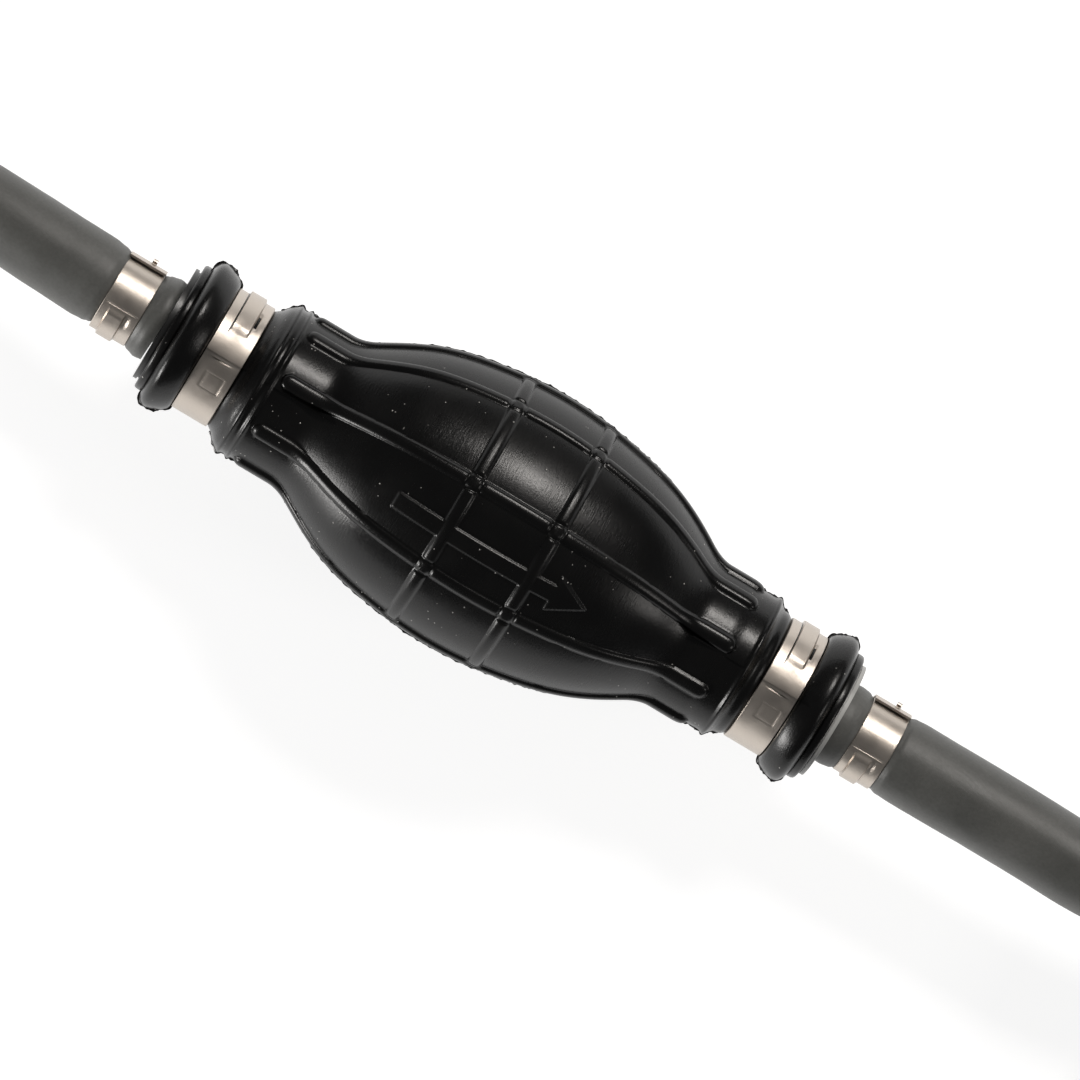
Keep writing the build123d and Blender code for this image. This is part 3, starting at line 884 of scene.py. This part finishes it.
def bulb_half(name, side):
    """One closed half of the bulb, split from the other at y = 0."""
    outline, inner = bulb_outline(), inner_outline()
    along = np.gradient(outline, axis=0)
    normal = np.stack([-along[:, 1], along[:, 0]], axis=1)
    normal /= np.linalg.norm(normal, axis=1)[:, None]
    on_face = np.abs(outline[:, 0]) > DISC_START
    angles = angle_lines(side)
    x, angle = np.meshgrid(outline[:, 0], angles, indexing="ij")
    radius = np.broadcast_to(outline[:, 1:2], x.shape)
    height = surface_height(x, radius, angle)
    flash = np.array([0.0 if face else flash_height(place) for place, face in zip(outline[:, 0], on_face)])
    arc = np.radians(np.abs(np.abs(angle) - FLASH_ANGLE)) * radius
    height = height + flash[:, None] * np.exp(-((arc / FLASH_WIDTH) ** 2))
    height[on_face] = 0
    outside = around(x + height * normal[:, :1], radius + height * normal[:, 1:], angle)
    inner_x, inner_angle = np.meshgrid(inner[:, 0], angles, indexing="ij")
    inside = around(inner_x, np.broadcast_to(inner[:, 1:2], inner_x.shape), inner_angle)
    points = np.concatenate([outside.reshape(-1, 3), inside.reshape(-1, 3)])
    uv = surface_places([x, inner_x], [angle, inner_angle], BELLY_RADIUS)
    rows, inner_rows, columns = len(outline), len(inner), len(angles)
    first = rows * columns
    faces = list(grid_faces(rows, columns)) + list(grid_faces(inner_rows, columns, first)[:, ::-1])
    for outer_row, inner_row, flip in ((0, 0, -1), (rows - 1, inner_rows - 1, 1)):
        outer_start = outer_row * columns
        inner_start = first + inner_row * columns
        for column in range(columns - 1):
            after = column + 1
            face = (outer_start + column, outer_start + after, inner_start + after, inner_start + column)
            faces.append(face[::flip])
    for column, flip in ((0, 1), (columns - 1, -1)):
        outer_line = [row * columns + column for row in range(rows)]
        inner_line = [first + row * columns + column for row in range(inner_rows)]
        faces += [face[::flip] for face in strip_faces(outer_line, inner_line)]
    if side < 0:
        faces = [face[::-1] for face in faces]
    return make_piece(name, points, faces, [BULB_RUBBER], uv, sharp=50)


def make_bulb():
    """Both halves of the bulb, split at y = 0, standing in for the CAD shell and squeeze walls."""
    halves = (
        ("bulb_front_half", 1, "front_wall", ("bulb_shell", "squeeze_wall_front")),
        ("bulb_back_half", -1, "back_wall", ("squeeze_wall_back",)),
    )
    for name, side, wall, nodes in halves:
        half = bulb_half(name, side)
        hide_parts(*nodes)
        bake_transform(half)


make_bulb()


# ---------------------------------------------------------------- clamps

BAND_EDGE = 0.12
OFF_BAND = 99.0


def band_piece(name, centre_x, inner, outer_of, turns, places, painted_slit_of=None):
    """A closed steel band whose outside follows a height function, with slits painted dark where a mask
    function says: the band is not cut there, and black rubber faces stand in for the gap and the shade in
    it.
    """
    half = CLAMP_WIDTH / 2
    ends = [-half, -half + BAND_EDGE, half - BAND_EDGE, half]
    x = np.unique(np.round(np.concatenate([ends, places]), 3))
    angle = np.unique(np.round(turns, 3))
    grid_x, grid_angle = np.meshgrid(x, angle, indexing="ij")
    drop = np.where(np.abs(np.abs(x) - half) < 1e-6, BAND_EDGE, 0.0)
    radius = outer_of(grid_x, grid_angle) - drop[:, None]
    outside = around(centre_x + grid_x, radius, grid_angle)
    inner_grid, inner_angle = np.meshgrid([-half, half], angle, indexing="ij")
    inside = around(centre_x + inner_grid, np.full(inner_grid.shape, inner), inner_angle)
    points = np.concatenate([outside, inside[::-1]]).reshape(-1, 3)
    faces = grid_faces(len(x) + 2, len(angle), close_rows=True, close_columns=True)
    dark = None
    # Painted shade: the slit faces take the black rubber material in place of a cut through the band.
    if painted_slit_of:
        middle_x = np.concatenate([(x[:-1] + x[1:]) / 2, [OFF_BAND] * 3])
        next_angle = np.append(angle[1:], angle[0] + 360)
        dark = painted_slit_of(*np.meshgrid(middle_x, (angle + next_angle) / 2, indexing="ij")).ravel().astype(int)
    uv = surface_places([grid_x, inner_grid[::-1]], [grid_angle, inner_angle[::-1]], inner)
    piece = make_piece(name, points, faces, [CLAMP_STEEL, BULB_RUBBER], uv, dark, sharp=30)
    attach(piece, "pump")
    return piece


# The neck clamp's raised strap, from one edge to the other and round the band
STRAP_LOW = -1.8
STRAP_HIGH = 2.0
STRAP_START = 22.0
STRAP_TURN_END = 100.0
STRAP_RISE = 0.7
STRAP_LOW_EDGE = 0.15
STRAP_HIGH_EDGE = 0.35
SLIT_WIDTH = 0.22
SHORT_SLIT_X = (STRAP_HIGH - 0.05, STRAP_HIGH + 0.5)
SHORT_SLIT_TURNS = (37, 52)

# The neck clamp's pressed window
WINDOW_X = 0.4
WINDOW_TURN = -24.5
WINDOW_HALF_WIDTH = 1.9
WINDOW_HALF_TURN = 7.3
TURN_PER_MM = 4.3
PRESS_DEPTH = 0.05


def in_strap(x, angle):
    """1 on the neck clamp's strap, 0 beside it."""
    low_side = smoothstep(STRAP_LOW, STRAP_LOW + STRAP_LOW_EDGE, x)
    high_side = smoothstep(STRAP_HIGH, STRAP_HIGH - STRAP_HIGH_EDGE, x)
    start = smoothstep(STRAP_START, STRAP_START + 9, angle)
    end = smoothstep(STRAP_TURN_END + 16, STRAP_TURN_END, angle)
    return low_side * high_side * start * end


def neck_band_radius(x, angle):
    """The neck clamp's outside: the strap with its dome and recess, a slot, and the window."""
    rise = STRAP_RISE * in_strap(x, angle) * (0.45 + 0.55 * smoothstep(40, 85, angle))
    dome = 0.18 * np.exp(-((x - 0.6) / 1.3) ** 2 - ((angle - 27) / 7) ** 2)
    recess = 0.4 * np.exp(-((x - STRAP_HIGH - 0.25) / 0.38) ** 2)
    recess = recess * smoothstep(33, 38, angle) * smoothstep(58, 52, angle)
    slot = 0.16 * np.exp(-((x + 0.2 + 0.02 * angle) / 2.2) ** 4 - ((angle + 3.4) / 0.9) ** 2)
    past_width = np.abs(x - WINDOW_X) - WINDOW_HALF_WIDTH
    past_turn = np.abs(angle - WINDOW_TURN) - WINDOW_HALF_TURN
    outline = PRESS_DEPTH * np.exp(-((np.maximum(past_width, past_turn) / 0.35) ** 2))
    dent = PRESS_DEPTH * smoothstep(0.4, 0.0, np.maximum(past_width, past_turn / TURN_PER_MM))
    return NECK_BAND_OUTER + rise + dome - recess - slot - outline - dent


def neck_band_painted_slit(x, angle):
    """True on the faces painted dark for the strap's long slit and its short one, which stand in for the
    cuts and their shade.
    """
    in_long = (x > STRAP_LOW - SLIT_WIDTH) & (x < STRAP_LOW)
    in_long &= (angle > STRAP_START - 1) & (angle < STRAP_TURN_END)
    in_short = (x > SHORT_SLIT_X[0]) & (x < SHORT_SLIT_X[1])
    in_short &= (angle > SHORT_SLIT_TURNS[0]) & (angle < SHORT_SLIT_TURNS[1])
    return in_long | in_short


def neck_clamp(name, centre_x):
    """A band with a locked ear: a raised strap between a long slit and a short one, both painted dark as
    shade rather than cut, and pressed marks.
    """
    turns = np.concatenate([np.arange(-178, 181, 3.0), np.arange(-36, -10, 0.5), np.arange(-8, 3, 0.3),
                            np.arange(18, 120, 1.0)])
    edges = [STRAP_LOW - SLIT_WIDTH, STRAP_LOW, STRAP_LOW + STRAP_LOW_EDGE, STRAP_HIGH - STRAP_HIGH_EDGE,
             *SHORT_SLIT_X]
    places = np.concatenate([np.arange(-3.6, 3.7, 0.3), edges])
    piece = band_piece(name, centre_x, GROOVE_RADIUS, neck_band_radius, turns, places, neck_band_painted_slit)
    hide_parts(name.replace("_band", ""))


# The hose clamp's domed tab
TAB_LOW = -2.4
TAB_HIGH = 1.4
TAB_EDGE = 0.3
TAB_TURN = -17.0
TAB_END = -112.0
TAB_RISE = 0.62


def hose_band_radius(x, angle):
    """The hose clamp's outside: the tab, the pressed line where it starts, and the hollow beside it."""
    across = smoothstep(TAB_LOW, TAB_LOW + TAB_EDGE, x) * smoothstep(TAB_HIGH, TAB_HIGH - TAB_EDGE, x)
    start = smoothstep(TAB_TURN, TAB_TURN - 13, angle)
    end = smoothstep(TAB_END - 14, TAB_END, angle)
    tab = TAB_RISE * across * start * end
    line = 0.12 * np.exp(-((angle - TAB_TURN - 2) / 1.1) ** 2) * smoothstep(3.6, 3.2, np.abs(x))
    hollow = 0.28 * np.exp(-((x - TAB_HIGH - 0.5) / 0.4) ** 2 - ((angle - TAB_TURN + 14) / 9) ** 2)
    return HOSE_BAND_OUTER + tab - line - hollow


def hose_clamp(name, centre_x):
    """A band with a domed tab low on one side and a lifted lap with a curled tooth on the other."""
    turns = np.concatenate([np.arange(-178, 181, 4.0), np.arange(-130, -8, 1.0), np.arange(-20, -9, 0.4)])
    edges = [TAB_LOW, TAB_LOW + TAB_EDGE, TAB_HIGH - TAB_EDGE, TAB_HIGH]
    places = np.concatenate([np.arange(-3.5, 3.6, 0.35), edges])
    piece = band_piece(name, centre_x, HOSE_BAND_INNER, hose_band_radius, turns, places)
    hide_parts(name.replace("_band", ""))
    clamp_lap(name.replace("_band", "_lap"), centre_x)


LAP_START = 66.0
LAP_END = 172.0
LAP_THICK = 0.5
LAP_LIFT = 0.34
LAP_REST = 0.03
LAP_BEVEL = 0.08
TOOTH_X = 0.9
TOOTH_ANGLE = 80.0
TOOTH_CURL = 0.55
TOOTH_THICK = 0.22
TOOTH_HALF = 0.5


def clamp_lap(name, centre_x):
    """The band's outer end, lifted off the band where it is cut, with a tooth curled up out of it."""
    half = CLAMP_WIDTH / 2 + 0.05
    turns = np.linspace(LAP_START, LAP_END, 54)
    section = [(-half, LAP_BEVEL), (-half, LAP_THICK - LAP_BEVEL), (-half + 0.1, LAP_THICK)]
    section += [(x, LAP_THICK) for x in np.linspace(-half + 0.6, half - 0.6, 11)]
    section += [(half - 0.1, LAP_THICK), (half, LAP_THICK - LAP_BEVEL), (half, LAP_BEVEL), (half - 0.1, 0)]
    section += [(-half + 0.1, 0)]
    points, uv = [], []
    for turn in turns:
        lift = LAP_LIFT * float(smoothstep(LAP_START + 40, LAP_START + 4, turn)) + LAP_REST
        for x, out_by in section:
            points.append(around(centre_x + x, HOSE_BAND_OUTER + lift + out_by, turn))
            uv.append((x / 100, radians(turn) * HOSE_BAND_OUTER / 100))
    columns = len(section)
    faces = list(grid_faces(len(turns), columns, close_columns=True))
    faces.append(list(range(columns))[::-1])
    faces.append(list(range((len(turns) - 1) * columns, len(turns) * columns)))
    tooth_points, tooth_faces, tooth_uv = curled_tooth(centre_x + TOOTH_X, len(points))
    piece = make_piece(name, np.array(points + tooth_points), faces + tooth_faces, [CLAMP_STEEL],
                       uv + tooth_uv, sharp=30)
    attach(piece, "pump")


def curled_tooth(x, first):
    """A narrow tongue that comes up out of the lap and curls over: points, faces, surface coordinates."""
    foot = HOSE_BAND_OUTER + LAP_LIFT + LAP_THICK - 0.1
    middle = around(np.array(x), foot + TOOTH_CURL * 0.95, np.array(TOOTH_ANGLE))
    out = np.array((0.0, sin(radians(TOOTH_ANGLE)), cos(radians(TOOTH_ANGLE))))
    forwards = np.array((0.0, cos(radians(TOOTH_ANGLE)), -sin(radians(TOOTH_ANGLE))))
    section = ((-TOOTH_HALF, TOOTH_CURL - TOOTH_THICK), (-TOOTH_HALF, TOOTH_CURL),
               (TOOTH_HALF, TOOTH_CURL), (TOOTH_HALF, TOOTH_CURL - TOOTH_THICK))
    points, uv = [], []
    turns = np.linspace(-20, 250, 19)
    for turn in turns:
        way = sin(radians(turn - 90)) * out + cos(radians(turn - 90)) * forwards
        for across, radius in section:
            points.append(middle + way * radius + np.array((across, 0, 0)))
            uv.append((across / 100, radians(turn) * TOOTH_CURL / 100))
    faces = list(grid_faces(len(turns), 4, first, close_columns=True))
    faces.append([first + n for n in range(4)][::-1])
    faces.append([first + (len(turns) - 1) * 4 + n for n in range(4)])
    return points, faces, uv


for end, side in (("inlet", -1), ("outlet", 1)):
    neck_clamp(end + "_neck_clamp_band", side * NECK_CLAMP_X)
    hose_clamp(end + "_hose_clamp_band", side * HOSE_CLAMP_X)


# ---------------------------------------------------------------- valve springs

def valve_coil(valve):
    """A valve's coil spring: a copy of the CAD spring in spring steel, at its place."""
    spring = frame["nodes"][valve + "_valve_spring"]
    mesh = spring.data.copy()
    mesh.transform(spring.matrix_world)
    mesh.materials.clear()
    mesh.materials.append(SLOT_MATERIALS["spring_steel"])
    coil = bpy.data.objects.new(valve + "_valve_coil", mesh)
    bpy.context.scene.collection.objects.link(coil)
    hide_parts(valve + "_valve_spring")
    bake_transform(coil)


valve_coil("inlet")
valve_coil("outlet")


# ---------------------------------------------------------------- floor, lights

FLOOR_HALF = 20000.0
FLOOR_GLOW = 0.82
SURROUND_COLOUR = (0.97, 0.98, 1.0, 1)
SURROUND_STRENGTH = 0.11
WARM = (1.0, 0.96, 0.92)
NEUTRAL = (1.0, 0.98, 0.96)


def make_floor():
    """A plain pale floor under the pump."""
    material, tree, shader = start_material("floor", roughness=0.75)
    tone = noise_of(tree, coordinates(tree), 3, 3)
    pale = mix_colours(tree, tone, (0.44, 0.44, 0.44), (0.47, 0.47, 0.47))
    tree.links.new(pale, shader.inputs["Base Color"])
    shader.inputs["Emission Color"].default_value = (1, 1, 1, 1)
    shader.inputs["Emission Strength"].default_value = FLOOR_GLOW
    corners = [(x * FLOOR_HALF, y * FLOOR_HALF, 0) for x, y in ((-1, -1), (1, -1), (1, 1), (-1, 1))]
    floor = make_piece("floor", corners, [(0, 1, 2, 3)], [material])


def area_light(name, place, target, size, power, colour):
    """A soft box that faces a point. Places are in metres."""
    data = bpy.data.lights.new(name, "AREA")
    data.shape = "RECTANGLE"
    data.size, data.size_y = size
    data.energy = power
    data.color = colour
    light = bpy.data.objects.new(name, data)
    bpy.context.scene.collection.objects.link(light)
    light.location = place
    light.rotation_euler = (Vector(target) - Vector(place)).to_track_quat("-Z", "Y").to_euler()
    light.visible_camera = False


def make_lights():
    """A soft box over the far side, one low on the near left, a weak right one and a dim surround."""
    area_light("key", (0.1, 1.17, 1.2), (0, 0, 0), (0.5, 0.36), 15.5, WARM)
    area_light("left", (-0.95, -1.0, 0.22), (0, 0, 0.03), (0.5, 0.36), 15, NEUTRAL)
    area_light("right", (1.3, 0.1, 0.85), (0, 0, 0.02), (0.35, 0.35), 2.5, WARM)
    world = bpy.data.worlds.new("surround")
    world.use_nodes = True
    world.node_tree.nodes["Background"].inputs["Color"].default_value = SURROUND_COLOUR
    world.node_tree.nodes["Background"].inputs["Strength"].default_value = SURROUND_STRENGTH
    bpy.context.scene.world = world
    bpy.context.scene.view_settings.view_transform = "Standard"


make_floor()
make_lights()
